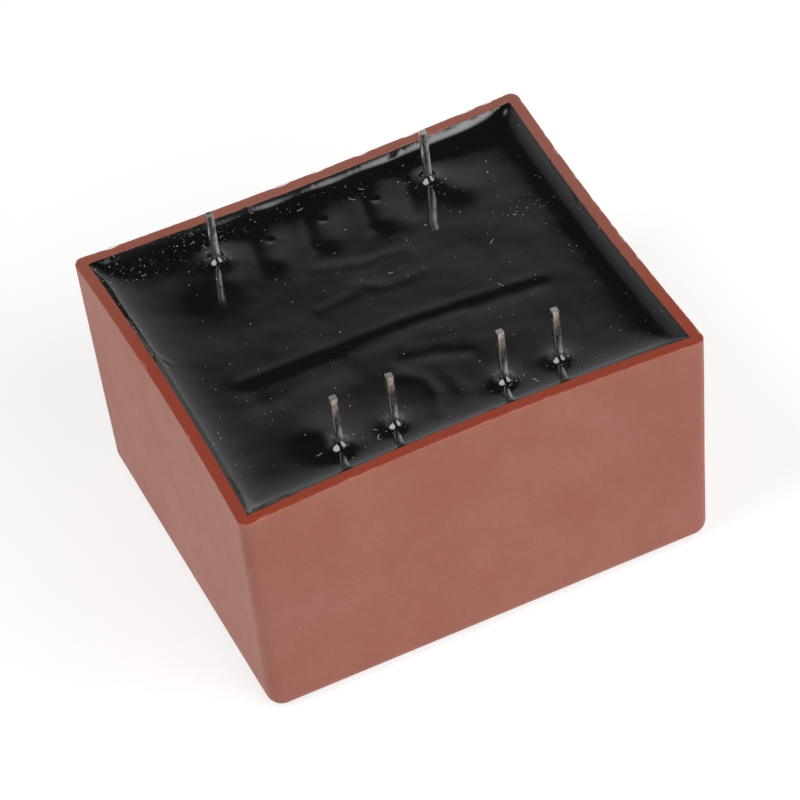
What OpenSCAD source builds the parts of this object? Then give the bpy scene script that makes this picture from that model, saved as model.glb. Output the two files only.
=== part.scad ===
// Printed-circuit transformer, cast into a moulded case, with its pins up.
// The case lies on its closed face. Origin: centre of that face. +X runs along the long
// walls, +Z runs towards the pins. Sizes in millimetres.

/* [Moulded case] */
// Length over the short walls, at the rim
case_length = 42.1; // [41.5:0.1:50]
// Width over the long walls, at the rim
case_width = 35.7; // [35.2:0.1:44]
// Height from the closed face to the rim
case_height = 23.6; // [23.4:0.1:32]
// Thickness of the walls at the rim
wall = 1.05; // [0.7:0.05:1.2]
// Thickness of the closed face
closed_face = 1.2; // [0.8:0.1:1.4]
// How far each wall leans in from the rim to the closed face
draft = 0.39; // [0.1:0.01:0.45]
// Radius of the upright corners at the rim
rim_corner = 0.82; // [0.5:0.01:1.5]
// Radius of the upright corners at the closed face
closed_corner = 1.45; // [1.4:0.01:2]
// Radius of the edge around the closed face
closed_edge = 1.4; // [0.6:0.1:1.4]

/* [Pull of the cured resin] */
// How far the rim of the front long wall is drawn in at its middle
pull_front = 0.74; // [0:0.01:0.8]
// How far the rim of the back long wall is drawn in at its middle
pull_back = 0.48; // [0:0.01:0.8]
// How far the rim of each short wall is drawn in at its middle
pull_end = 0.36; // [0:0.01:0.6]

/* [Resin surface] */
// Depth of the resin below the rim, in the middle
resin_depth = 1.15; // [1:0.01:1.3]
// How high the resin climbs the walls
wall_climb = 1.1; // [0.2:0.01:1.15]
// How far from a wall the climb dies away
wall_reach = 0.9; // [0.5:0.01:1.5]
// How high the resin climbs each pin
pin_climb = 0.62; // [0.2:0.01:0.9]
// How far from a pin the climb dies away
pin_reach = 0.45; // [0.3:0.01:1]
// Depth of the pits over the vacant places in the back row
pit_depth = 0.15; // [0:0.01:0.5]
// Share of their full height that the swells and creases have
relief = 1; // [0:0.1:1.5]

/* [Pins] */
// Distance between neighbouring places in a row
pin_pitch = 5; // [4.6:0.1:5.2]
// Distance between the two rows
row_distance = 25; // [24.4:0.1:25.6]
// Side of the square pins
pin_side = 0.6; // [0.5:0.05:0.7]
// Height of the pin tips above the rim
pin_proud = 4.5; // [3:0.1:6]

/* [Core] */
// Width of the core's outer limbs, which sets both stampings
limb = 6.4; // [6.2:0.05:6.4]
// Thickness of one lamination
plate = 0.5; // [0.35:0.01:0.5]
// Number of laminations in the stack
plates = 17; // [15:2:17]

/* [Bobbin and windings] */
// Wall of the tube around the centre limb
tube_wall = 0.7; // [0.5:0.05:0.8]
// Thickness of the three flanges
flange = 0.75; // [0.6:0.05:0.9]
// Build of the primary winding on the tube
primary_build = 4.6; // [3:0.1:4.7]
// Build of the inner secondary winding
inner_build = 2.3; // [1.5:0.1:2.3]
// Build of the outer secondary winding
outer_build = 2.2; // [1.5:0.1:2.3]
// Thickness of the insulation tape
tape = 0.12; // [0.06:0.01:0.15]
// Diameter of the twisted primary tails
primary_tail = 0.28; // [0.2:0.01:0.32]
// Diameter of the secondary wire
secondary_wire = 0.32; // [0.2:0.01:0.36]

/* [Hidden] */
$fn = 48;
eps = 0.01;

// ---- derived sizes: case and cavity ----
half_length = case_length / 2;
half_width = case_width / 2;
edge_steps = 6;      // rings round the edge of the closed face
corner_steps = 6;    // points round an upright corner, less one
side_steps = 16;     // spans along each wall
pull_power = 2.2;    // how fast the pull grows towards the rim
pull_decay = 8;      // how fast the pull dies away inside the resin
wall_levels = [closed_face, 9, 15, 19, 22, case_height];
above_rim = case_height + 1;
lip = 0.04;          // bare wall left between the resin and the rim

// ---- derived sizes: core ----
core_length = 6 * limb;
core_width = 5 * limb;
window_length = 3 * limb;
stack = plate * plates;
coil_z = 11.8;                       // height of the coil's axis
stack_z = coil_z - stack / 2;        // underside of the stack

// ---- derived sizes: bobbin ----
tube_x = limb + tube_wall;           // half width of the tube, outside
tube_z = stack / 2 + tube_wall;      // half height of the tube, outside
flange_x = 2 * limb - 0.15;          // half width of a flange
flange_z = 10.15;                    // half height of a flange
rail_depth = 14.3;                   // how far a rail reaches out along Y
rail_half = 13;                      // half length of a rail
rail_top = 20.8;                     // also the floor of the wire notches in the end flanges
rail_bottom = coil_z + stack / 2;    // the rails sit on the yokes
notch = 1.3;                         // width of the wire notches
chamber = (window_length - 3 * flange) / 2;
chamber_y = flange / 2 + chamber / 2;

// ---- derived sizes: wire ----
wire_sides = 6;
turn_steps = 8;      // straight steps in one turn round a pin
tail_turns = 1.75;   // turns of a tail round its pin

// ---- derived sizes: pins ----
pin_tip = case_height + pin_proud;
pin_root = rail_bottom + 1;
resin_level = case_height - resin_depth;
row_y = row_distance / 2;
// each pin: [number, column, row, build out to the top of its coil, diameter of its tail]
PINS = [
    [1, -2, 1, primary_build, primary_tail],
    [5, 2, 1, primary_build, primary_tail],
    [6, -2, -1, inner_build, secondary_wire],
    [7, -1, -1, inner_build, secondary_wire],
    [9, 1, -1, inner_build + outer_build, secondary_wire],
    [10, 2, -1, inner_build + outer_build, secondary_wire]
];
PRIMARY_PINS = [PINS[0], PINS[1]];
INNER_PINS = [PINS[2], PINS[3]];
OUTER_PINS = [PINS[4], PINS[5]];
// columns of the vacant places in the back row, where the resin sank into a pit
VACANT = [-1, 0, 1];
// swells and creases of the cured resin: [height, how far it dies away to each side, its line]
SWELLS = [
    [0.1, 1.6, [[-3.9, 14], [-4.6, 8.6]]],
    [0.1, 1.6, [[1.1, 14], [0.3, 8.8]]],
    [0.1, 1.6, [[5.9, 13.6], [4.8, 9.1]]],
    [-0.12, 1, [[-13.5, -2], [1.8, -2.1], [12.9, -3]]],
    [-0.1, 2, [[-12.9, 7.6], [-11, 7.8]]],
    [-0.1, 1.6, [[-13.4, -11.2], [-11.9, -11.2]]]
];

function place_x(column) = column * pin_pitch;
function place_y(row) = row * row_y;
function numbered(stem, i) = str(stem, i < 10 ? "0" : "", i);

LAMINATIONS = [for (i = [1:plates]) each [numbered("e_lamination_", i), numbered("i_lamination_", i)]];

// ---- plan of the case ----

// Share of the rim's pull that a wall shows at height z
function pull_at(z) = pow(max(z, 0) / case_height, pull_power);

// How far a wall stands inside its straight line; s runs from -1 to 1 along it
function pulled(amount, s, z) = amount * (1 - s * s) * pull_at(z);

// Half sizes and corner radius of the outside at height z
function outer_x(z) = half_length - draft * (1 - z / case_height);
function outer_y(z) = half_width - draft * (1 - z / case_height);
function corner_at(z) = closed_corner + (rim_corner - closed_corner) * z / case_height;

// A quarter turn of radius r about [x, y], starting at angle a
function quarter(x, y, r, a) = [
    for (i = [0:corner_steps])
        let (t = a + 90 * i / corner_steps)
        [x + r * cos(t), y + r * sin(t)]
];

// One closed outline of the outside at height z, drawn in by inset for the closed edge
function outer_ring(z, inset = 0) =
    let (
        hx = outer_x(z) - inset,
        hy = outer_y(z) - inset,
        r = corner_at(z) - inset,
        cx = hx - r,
        cy = hy - r,
        spans = [for (i = [1:side_steps - 1]) -1 + 2 * i / side_steps],
        plan = concat(
            [for (s = spans) [s * cx, -hy + pulled(pull_front, s, z)]],
            quarter(cx, -cy, r, -90),
            [for (s = spans) [hx - pulled(pull_end, s, z), s * cy]],
            quarter(cx, cy, r, 0),
            [for (s = spans) [-s * cx, hy - pulled(pull_back, s, z)]],
            quarter(-cx, cy, r, 90),
            [for (s = spans) [-hx + pulled(pull_end, s, z), -s * cy]],
            quarter(-cx, -cy, r, 180)
        )
    )
    [for (p = plan) [p[0], p[1], z]];

// ---- plan of the cavity: u and v run from -1 to 1 between the walls ----

function inner_x(z) = outer_x(z) - wall;
function inner_y(z) = outer_y(z) - wall;
// The pull between two levels is a straight line, so the resin meets the wall all the way up
function inner_pull(z) = lookup(z, [for (l = wall_levels) [l, pull_at(l)]]);
function cavity_point(u, v, z) =
    let (f = inner_pull(z))
    [
        u * (inner_x(z) - pull_end * (1 - v * v) * pow(abs(u), pull_decay) * f),
        v * (inner_y(z) - (v < 0 ? pull_front : pull_back) * (1 - u * u) * pow(abs(v), pull_decay) * f),
        z
    ];

// Grid lines of the resin surface, in millimetres from the middle: close together where
// it climbs a pin or a wall
near_pin = [-1.5, -0.95, -0.55, -0.2, 0.2, 0.55, 0.95, 1.5];
near_wall = [0, 0.3, 0.65, 1.1, 1.8, 2.9];
x_grid = concat(
    [for (d = near_wall) d - inner_x(case_height)],
    [-15.2, -13.2],
    [for (c = [-2:2]) each concat([for (d = near_pin) place_x(c) + d], c < 2 ? [place_x(c) + 2.5] : [])],
    [13.2, 15.2],
    [for (i = [len(near_wall) - 1:-1:0]) inner_x(case_height) - near_wall[i]]
);
y_grid = concat(
    [for (d = near_wall) if (d < 2) d - inner_y(case_height)],
    [for (d = near_pin) d - row_y],
    [-9.2, -7.2, -5.4, -4, -3, -2.2, -1.4, -0.7, 0, 0.8, 1.8, 3.2, 4.6, 6.4, 8.2, 9.6],
    [for (d = near_pin) d + row_y],
    [for (i = [len(near_wall) - 2:-1:0]) inner_y(case_height) - near_wall[i]]
);
u_lines = [for (x = x_grid) x / inner_x(case_height)];
v_lines = [for (y = y_grid) y / inner_y(case_height)];
nu = len(u_lines);
nv = len(v_lines);

// The cavity's outline at height z, through the ends of the grid lines
function cavity_ring(z) = concat(
    [for (i = [0:nu - 2]) cavity_point(u_lines[i], -1, z)],
    [for (j = [0:nv - 2]) cavity_point(1, v_lines[j], z)],
    [for (i = [nu - 1:-1:1]) cavity_point(u_lines[i], 1, z)],
    [for (j = [nv - 1:-1:1]) cavity_point(-1, v_lines[j], z)]
);

// ---- height of the resin ----

function climb(distance, height, reach) = height * exp(-distance / reach);
function bell(x, y, cx, cy, r) = exp(-(pow(x - cx, 2) + pow(y - cy, 2)) / (r * r));

// Climb at the four walls, u and v as above
function wall_part(u, v) =
    climb((1 - abs(u)) * inner_x(case_height), wall_climb, wall_reach)
    + climb((1 - abs(v)) * inner_y(case_height), wall_climb, wall_reach)
      * (1 - climb((1 - abs(u)) * inner_x(case_height), 1, wall_reach));

// Collars round the pins
function pin_part(x, y) =
    max([
        for (p = PINS)
            let (d = norm([x - place_x(p[1]), y - place_y(p[2])]))
            climb(max(0, d - pin_side / 2), pin_climb, pin_reach)
    ]);

function total(list) = list * [for (value = list) 1];

function pit_part(x, y) =
    -pit_depth * total([for (column = VACANT) bell(x, y, place_x(column), row_y, 0.7)]);

// Distance from p to the straight piece between a and b, and to a whole line of them
function off_piece(p, a, b) =
    let (share = min(1, max(0, (p - a) * (b - a) / ((b - a) * (b - a)))))
    norm(p - a - share * (b - a));
function off_line(p, line) = min([for (i = [1:len(line) - 1]) off_piece(p, line[i - 1], line[i])]);

function swell_part(x, y) =
    relief * total([for (s = SWELLS) s[0] * exp(-pow(off_line([x, y], s[2]) / s[1], 2))]);

// The resin wets the wall up to just under the rim
function resin_height(u, v) =
    let (p = cavity_point(u, v, resin_level))
    min(
        case_height - lip,
        resin_level + wall_part(u, v) + pin_part(p[0], p[1]) + pit_part(p[0], p[1]) + swell_part(p[0], p[1])
    );

function resin_point(i, j) = cavity_point(u_lines[i], v_lines[j], resin_height(u_lines[i], v_lines[j]));

// ---- solids from rings ----

// Faces of a band between two rings of n points that start at a and b
function band(a, b, n) = [
    for (i = [0:n - 1])
        let (k = (i + 1) % n)
        each [[a + i, b + k, a + k], [a + i, b + i, b + k]]
];

// A closed solid through rings that rise along Z, each end closed by a fan about its middle
module loft(rings) {
    n = len(rings[0]);
    count = len(rings);
    low = n * count;
    points = concat(
        [for (r = rings) each r],
        [[0, 0, rings[0][0][2]], [0, 0, rings[count - 1][0][2]]]
    );
    faces = concat(
        [for (k = [0:count - 2]) each band(k * n, (k + 1) * n, n)],
        [for (i = [0:n - 1]) [low, i, (i + 1) % n]],
        [for (i = [0:n - 1]) [low + 1, low - n + (i + 1) % n, low - n + i]]
    );
    polyhedron(points = points, faces = faces, convexity = 4);
}

module case_outside() {
    edge = [
        for (i = [0:edge_steps])
            let (a = 90 * i / edge_steps)
            outer_ring(closed_edge * (1 - sin(a)), closed_edge * (1 - cos(a)))
    ];
    loft(concat(
        [for (i = [edge_steps:-1:0]) edge[i]],
        [for (z = wall_levels) if (z > closed_edge + 1) outer_ring(z)]
    ));
}

module cavity() {
    loft([for (z = concat(wall_levels, [above_rim])) cavity_ring(z)]);
}

module case() {
    color("#a8604f")
        difference() {
            case_outside();
            cavity();
        }
}

// The cast block before the pieces inside it are taken out: rings up the walls, then the
// grid of the free surface
module resin_block() {
    wall_zs = [for (z = wall_levels) if (z < resin_level - 0.5) z];
    walls = [for (z = wall_zs) cavity_ring(z)];
    n = len(walls[0]);
    count = len(walls);
    grid = n * count;
    // the surface's grid points, and where each one lies on the cavity's outline
    surface = [for (j = [0:nv - 1]) for (i = [0:nu - 1]) resin_point(i, j)];
    outline = concat(
        [for (i = [0:nu - 2]) grid + i],
        [for (j = [0:nv - 2]) grid + j * nu + nu - 1],
        [for (i = [nu - 1:-1:1]) grid + (nv - 1) * nu + i],
        [for (j = [nv - 1:-1:1]) grid + j * nu]
    );
    last = grid - n;
    centre = grid + nu * nv;
    faces = concat(
        [for (k = [0:count - 2]) each band(k * n, (k + 1) * n, n)],
        [for (i = [0:n - 1]) each
            let (k = (i + 1) % n)
            [[last + i, outline[k], last + k], [last + i, outline[i], outline[k]]]],
        [for (j = [0:nv - 2]) for (i = [0:nu - 2]) each
            let (a = grid + j * nu + i)
            [[a, a + nu + 1, a + 1], [a, a + nu, a + nu + 1]]],
        [for (i = [0:n - 1]) [centre, i, (i + 1) % n]]
    );
    polyhedron(
        points = concat([for (r = walls) each r], surface, [[0, 0, closed_face]]),
        faces = faces,
        convexity = 8
    );
}

module potting() {
    color("#1b1b1c")
        difference() {
            resin_block();
            core_space();
            bobbin();
            ring(0, primary_build + tape, chamber_y);
            ring(0, inner_build + outer_build + tape, -chamber_y);
            for (p = PINS) {
                tail(p);
                pin(p);
            }
        }
}

// ---- core ----

module e_outline() {
    difference() {
        translate([-core_length / 2, 0]) square([core_length, 4 * limb]);
        for (side = [-1, 1])
            translate([side * 1.5 * limb - limb / 2, -eps]) square([limb, window_length + eps]);
    }
}

// The E's limbs end at its Y = 0; turned = 1 points its back to +Y, turned = -1 to -Y
module e_lamination(layer) {
    turned = layer % 2 == 0 ? 1 : -1;
    color("#6f7378")
        translate([0, 0, stack_z + plate * (layer - 1)])
            linear_extrude(height = plate)
                scale_y(turned) translate([0, -window_length / 2]) e_outline();
}

module i_lamination(layer) {
    turned = layer % 2 == 0 ? -1 : 1;
    color("#7a7e83")
        translate([-core_length / 2, turned * 2 * limb - limb / 2, stack_z + plate * (layer - 1)])
            cube([core_length, limb, plate]);
}

module scale_y(s) {
    if (s < 0) mirror([0, 1, 0]) children();
    else children();
}

// The room that the whole stack takes up
module core_space() {
    translate([0, 0, stack_z])
        linear_extrude(height = stack)
            difference() {
                square([core_length, core_width], center = true);
                for (side = [-1, 1])
                    translate([side * 1.5 * limb, 0]) square([limb, window_length], center = true);
            }
}

// ---- bobbin ----

// Rectangle with round corners
module rounded(w, h, r) {
    square([w - 2 * r, h], center = true);
    square([w, h - 2 * r], center = true);
    for (x = [-1, 1], y = [-1, 1])
        translate([x * (w / 2 - r), y * (h / 2 - r)]) circle(r);
}

// Stands a plan in X and Z up along Y, centred on y
module along_y(y, length) {
    translate([0, y + length / 2, coil_z]) rotate([90, 0, 0]) linear_extrude(height = length) children();
}

// What is wound in the chamber centred on y, from one build to another above the tube
module ring(from, to, y) {
    along_y(y, chamber)
        difference() {
            rounded(2 * (tube_x + to), 2 * (tube_z + to), to);
            if (from == 0) square([2 * tube_x, 2 * tube_z], center = true);
            else rounded(2 * (tube_x + from), 2 * (tube_z + from), from);
        }
}

module flange_plate(y) {
    along_y(y, flange)
        difference() {
            rounded(2 * flange_x, 2 * flange_z, 0.8);
            square([2 * tube_x, 2 * tube_z], center = true);
        }
}

// A rail on the yoke, with a square socket for each place and gaps between the places
module rail(row) {
    inner = window_length / 2 - flange;
    depth = rail_depth - inner;
    socket = rail_top - pin_root;
    scale_y(row)
        difference() {
            translate([-rail_half, inner, rail_bottom]) cube([2 * rail_half, depth, rail_top - rail_bottom]);
            for (c = [-2:2])
                translate([place_x(c), row_y, pin_root + socket / 2 + eps])
                    cube([pin_side, pin_side, socket + 2 * eps], center = true);
            for (c = [-2:1])
                translate([place_x(c) + (pin_pitch - notch) / 2, row_y - 0.8, rail_top - 2])
                    cube([notch, rail_depth, 3]);
            for (s = [-1, 1])
                translate([s * rail_half - 1, row_y + 0.7, rail_bottom - eps]) cube([2, rail_depth, 8]);
        }
}

module bobbin() {
    color("#d9d4c4")
        difference() {
            union() {
                along_y(0, window_length)
                    difference() {
                        square([2 * tube_x, 2 * tube_z], center = true);
                        square([2 * limb, stack], center = true);
                    }
                flange_plate(0);
                for (s = [-1, 1]) {
                    flange_plate(s * (window_length - flange) / 2);
                    rail(s);
                }
            }
            for (p = PINS)
                translate([tail_start(p) - notch / 2, p[2] * window_length / 2 - 1, rail_top])
                    cube([notch, 2, flange_z]);
        }
}

// ---- windings and tape ----

// Radius at which a tail turns round its pin, so that its flats clear the pin's corners
function turn_radius(d) = (pin_side * sqrt(2) + d) / 2 / cos(180 / turn_steps) + 0.02;
// A tail passes its pin on the side away from the middle of the rail
function tail_side(p) = place_x(p[1]) > 0 ? 1 : -1;
// Where along X a tail leaves its coil
function tail_start(p) = 0.6 * place_x(p[1]);

// Points along a tail: up inside its coil beside the flange, out through the notch, along
// the rail and round the foot of its pin
function tail_path(p) =
    let (
        row = p[2],
        d = p[4],
        side = tail_side(p),
        x = tail_start(p),
        coil_end = window_length / 2 - flange,
        low = rail_top + d / 2 + 0.03,
        r = turn_radius(d)
    )
    concat(
        [
            [x, row * (coil_end - 0.6), coil_z + tube_z + p[3] - 1],
            [x, row * (coil_end - 0.25), low - 0.3],
            [x, row * (coil_end + 0.1), low],
            [x, row * (coil_end + flange + 0.3), low],
            [place_x(p[1]) + side * r, row * (row_y - 0.9), low]
        ],
        [
            for (k = [0:tail_turns * turn_steps])
                let (a = (side > 0 ? 0 : 180) + side * row * 360 * k / turn_steps)
                [
                    place_x(p[1]) + r * cos(a),
                    place_y(row) + r * sin(a),
                    low + 1.15 * d * k / turn_steps
                ]
        ]
    );

function unit(v) = v / norm(v);

// A round wire of diameter d along a path, as one closed solid
module wire(path, d) {
    n = len(path);
    points = [
        for (k = [0:n - 1])
            let (
                t = unit(path[min(k + 1, n - 1)] - path[max(k - 1, 0)]),
                across = unit(cross(t, [0, 0, 1])),
                down = cross(t, across)
            )
            for (i = [0:wire_sides - 1])
                let (a = 360 * i / wire_sides)
                path[k] + d / 2 * (cos(a) * across + sin(a) * down)
    ];
    last = wire_sides * (n - 1);
    faces = concat(
        [for (k = [0:n - 2]) each band(k * wire_sides, (k + 1) * wire_sides, wire_sides)],
        [[for (i = [0:wire_sides - 1]) i]],
        [[for (i = [wire_sides - 1:-1:0]) last + i]]
    );
    polyhedron(points = points, faces = faces, convexity = 4);
}

module tail(p) {
    wire(tail_path(p), p[4]);
}

module primary_winding() {
    color("#a8542c")
        union() {
            ring(0, primary_build, chamber_y);
            for (p = PRIMARY_PINS) tail(p);
        }
}

module secondary_winding_a() {
    color("#b4622f")
        union() {
            ring(0, inner_build, -chamber_y);
            for (p = INNER_PINS) tail(p);
        }
}

// The inner winding's tails rise through the end of this one
module secondary_winding_b() {
    color("#bb6a35")
        difference() {
            union() {
                ring(inner_build, inner_build + outer_build, -chamber_y);
                for (p = OUTER_PINS) tail(p);
            }
            for (p = INNER_PINS) tail(p);
        }
}

module tape_primary() {
    color("#e0b83c") ring(primary_build, primary_build + tape, chamber_y);
}

module tape_secondary() {
    build = inner_build + outer_build;
    color("#e0b83c") ring(build, build + tape, -chamber_y);
}

// ---- pins ----

module pin(p) {
    color("#c9cbcd")
        translate([place_x(p[1]), place_y(p[2]), (pin_root + pin_tip) / 2])
            cube([pin_side, pin_side, pin_tip - pin_root], center = true);
}

case();
potting();
bobbin();
primary_winding();
secondary_winding_a();
secondary_winding_b();
tape_primary();
tape_secondary();
for (p = PINS)
    pin(p);
for (layer = [1:plates]) {
    e_lamination(layer);
    i_lamination(layer);
}
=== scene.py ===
"""Finishes a potted circuit-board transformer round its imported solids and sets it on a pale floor.

Lengths are worked out in millimetres and turned to metres where a mesh or a node is made.
"""

import math
from types import SimpleNamespace

import bpy
import numpy as np
from mathutils import Matrix, Vector, noise


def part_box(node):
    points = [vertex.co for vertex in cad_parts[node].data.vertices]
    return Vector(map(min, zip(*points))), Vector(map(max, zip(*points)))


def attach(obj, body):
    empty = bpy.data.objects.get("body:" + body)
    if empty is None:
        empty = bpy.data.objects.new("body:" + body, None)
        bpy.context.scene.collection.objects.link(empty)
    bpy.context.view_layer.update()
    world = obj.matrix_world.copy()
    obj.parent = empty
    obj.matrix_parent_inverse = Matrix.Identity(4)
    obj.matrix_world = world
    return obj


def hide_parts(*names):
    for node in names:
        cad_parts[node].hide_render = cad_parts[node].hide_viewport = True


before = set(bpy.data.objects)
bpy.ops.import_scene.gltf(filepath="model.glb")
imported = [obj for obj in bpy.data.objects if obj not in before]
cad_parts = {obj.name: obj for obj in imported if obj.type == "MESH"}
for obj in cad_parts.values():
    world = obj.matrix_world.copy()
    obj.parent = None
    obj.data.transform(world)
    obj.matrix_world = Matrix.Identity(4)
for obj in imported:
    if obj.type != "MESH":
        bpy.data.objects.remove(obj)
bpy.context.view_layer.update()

bl_info = {
    "name": "Potted transformer finish",
    "version": (1, 0, 0),
    "blender": (4, 5, 0),
    "location": "View3D > Sidebar > Transformer",
    "description": "Moulded cup, cast resin, tinned pins and their dust, on a studio floor",
    "category": "Object",
}

MM = 0.001
BODY = "root"


# ---- what the frame says ----


def box_mm(node):
    """Lowest and highest corner of a CAD node."""
    return [np.array(corner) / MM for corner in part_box(node)]


def read_cup():
    """The cup's driving sizes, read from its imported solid."""
    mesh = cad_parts["case"].data
    points = np.empty(len(mesh.vertices) * 3)
    mesh.vertices.foreach_get("co", points)
    points = points.reshape(-1, 3) / MM
    half_x, half_y, height = box_mm("case")[1]
    rim = points[points[:, 2] > height - 0.01]
    across = np.unique(rim[np.abs(rim[:, 0]) < 0.01][:, 1].round(3))
    along = np.unique(rim[np.abs(rim[:, 1]) < 0.01][:, 0].round(3))
    closed_face = box_mm("potting")[0][2]
    edge_top = points[:, 2][points[:, 2] > closed_face + 0.05].min()
    foot = points[np.abs(points[:, 2] - edge_top) < 0.01][:, 0].max()
    return SimpleNamespace(
        half_x=half_x,
        half_y=half_y,
        height=height,
        wall=along[-1] - along[-2],
        closed_edge=edge_top,
        closed_face=closed_face,
        lean=(half_x - foot) / (1 - edge_top / height),
        pull_front=half_y + across[0],
        pull_back=half_y - across[-1],
        pull_end=half_x - along[-1],
    )


cup = read_cup()
PINS = sorted(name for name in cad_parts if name.startswith("pin_"))
PIN_PLACES = [sum(box_mm(name)) / 2 for name in PINS]
PIN_SIDE = float(np.ptp([corner[0] for corner in box_mm(PINS[0])]))
ROW_Y = max(place[1] for place in PIN_PLACES)
PITCH = min(abs(a[0] - b[0]) for a in PIN_PLACES for b in PIN_PLACES if abs(a[0] - b[0]) > 1)
SEALED = {
    "bobbin": ["bobbin"],
    "winding": [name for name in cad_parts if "winding" in name],
    "tape": [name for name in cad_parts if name.startswith("tape")],
    "lamination": [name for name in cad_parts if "lamination" in name],
}


# ---- node trees ----


def add(tree, kind, settings=None, inputs=None):
    """Adds a node. Settings are its own properties; inputs are values, sockets or whole nodes."""
    made = tree.nodes.new(kind)
    settings = dict(settings or {})
    stops = settings.pop("stops", [])
    for key, value in settings.items():
        setattr(made, key, value)
    for i, (position, value) in enumerate(stops):
        elements = made.color_ramp.elements
        element = elements[i] if i < len(elements) else elements.new(position)
        element.position = position
        element.color = (value, value, value, 1)
    for key, value in (inputs or {}).items():
        shown = [socket for socket in made.inputs if socket.enabled]
        socket = shown[key] if isinstance(key, int) else next(s for s in shown if s.name == key)
        if isinstance(value, bpy.types.Node):
            value = next(output for output in value.outputs if output.enabled)
        if isinstance(value, bpy.types.NodeSocket):
            tree.links.new(value, socket)
        else:
            socket.default_value = value
    return made


SUM = ("ShaderNodeMath", {"operation": "ADD"})
DIFFERENCE = ("ShaderNodeMath", {"operation": "SUBTRACT"})
PRODUCT = ("ShaderNodeMath", {"operation": "MULTIPLY"})
QUOTIENT = ("ShaderNodeMath", {"operation": "DIVIDE"})
POWER = ("ShaderNodeMath", {"operation": "POWER"})
SMALLER = ("ShaderNodeMath", {"operation": "MINIMUM"})
BLEND = ("ShaderNodeMix", {"data_type": "RGBA"})
MULTIPLY = ("ShaderNodeMix", {"data_type": "RGBA", "blend_type": "MULTIPLY"})


def linear(hex_colour):
    """A linear RGBA colour from an sRGB hex string."""
    parts = [int(hex_colour[i : i + 2], 16) / 255 for i in (1, 3, 5)]
    return [p / 12.92 if p <= 0.04045 else ((p + 0.055) / 1.055) ** 2.4 for p in parts] + [1.0]


def new_material(name):
    """An empty node material: its tree and its Object coordinates come with it."""
    material = bpy.data.materials.new(name)
    material.use_nodes = True
    tree = material.node_tree
    tree.nodes.clear()
    place = add(tree, "ShaderNodeTexCoord").outputs["Object"]
    return material, tree, place


def close_material(material, inputs):
    """Ends a material's tree in one principled shader."""
    shader = add(material.node_tree, "ShaderNodeBsdfPrincipled", None, inputs)
    add(material.node_tree, "ShaderNodeOutputMaterial", None, {"Surface": shader})
    return material


def grain(place, size, detail=3.0, roughness=0.5):
    """Inputs of a noise whose features are about size millimetres across."""
    return {"Vector": place, "Scale": 1 / (size * MM), "Detail": detail, "Roughness": roughness}


def new_geometry_tree(name, inputs):
    """A geometry tree with named inputs, given as (name, socket kind, default)."""
    tree = bpy.data.node_groups.new(name, "GeometryNodeTree")
    tree.interface.new_socket("Geometry", in_out="OUTPUT", socket_type="NodeSocketGeometry")
    tree.interface.new_socket("Geometry", in_out="INPUT", socket_type="NodeSocketGeometry")
    for label, kind, value in inputs:
        socket = tree.interface.new_socket(label, in_out="INPUT", socket_type="NodeSocket" + kind)
        if value is not None:
            socket.default_value = value
    return tree, add(tree, "NodeGroupInput").outputs


def close_geometry_tree(tree, geometry, source):
    """Ends a tree in plain geometry of one material."""
    whole = add(tree, "GeometryNodeRealizeInstances", None, {"Geometry": geometry})
    dressed = add(tree, "GeometryNodeSetMaterial", None, {"Geometry": whole, "Material": source["Material"]})
    add(tree, "NodeGroupOutput", None, {"Geometry": dressed})


def run_tree(name, tree, base, values):
    """Runs a geometry tree on a base mesh and returns the result as a plain mesh object."""
    piece = bpy.data.objects.new(name, base)
    bpy.context.scene.collection.objects.link(piece)
    modifier = piece.modifiers.new("tree", "NODES")
    modifier.node_group = tree
    for item in tree.interface.items_tree:
        if item.in_out == "INPUT" and item.name in values:
            modifier[item.identifier] = values[item.name]
    evaluated = piece.evaluated_get(bpy.context.evaluated_depsgraph_get())
    mesh = bpy.data.meshes.new_from_object(evaluated)
    piece.modifiers.remove(modifier)
    piece.data = mesh
    mesh.name = name
    need(len(mesh.polygons) > 0, f"{name} came out empty")
    return piece


# ---- meshes ----


def need(condition, message):
    """Stops the script, because a cancelled operator would not."""
    if not condition:
        raise RuntimeError(message)


def new_mesh(name, points, faces=(), edges=(), smooth=True):
    """A mesh from points in millimetres."""
    mesh = bpy.data.meshes.new(name)
    mesh.from_pydata((np.asarray(points) * MM).tolist(), edges, faces)
    mesh.polygons.foreach_set("use_smooth", [smooth] * len(mesh.polygons))
    mesh.update()
    return mesh


def new_object(name, mesh):
    """An object at the origin that holds a mesh."""
    made = bpy.data.objects.new(name, mesh)
    bpy.context.scene.collection.objects.link(made)
    return made


def ripple(points, size, seed, octaves=3):
    """Smooth noise of about -1 to 1 at points, with features about size across."""
    shift = Vector((17.3, -9.1, 5.7)) * seed
    return np.array([noise.fractal(Vector(p) / size + shift, 0.7, 2.0, octaves) for p in points])


def bell(x, y, centre, reach_x, reach_y):
    """A smooth round bump of height 1."""
    return np.exp(-(((x - centre[0]) / reach_x) ** 2) - ((y - centre[1]) / reach_y) ** 2)


def settle(piece, replaced=()):
    """Puts a finished piece on the body and hides the solids that it stands for."""
    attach(piece, BODY)
    if replaced:
        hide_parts(*replaced)


# ---- the moulded cup ----

CORNER_AT_RIM = 0.82
CORNER_AT_CLOSED_FACE = 1.45
CORNER_IN_CAVITY = 0.1
PULL_POWER = 2.2  # how fast the shrinking resin's pull on the walls grows towards the rim
SIDE_SPANS = 150
CORNER_SPANS = 10


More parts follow.
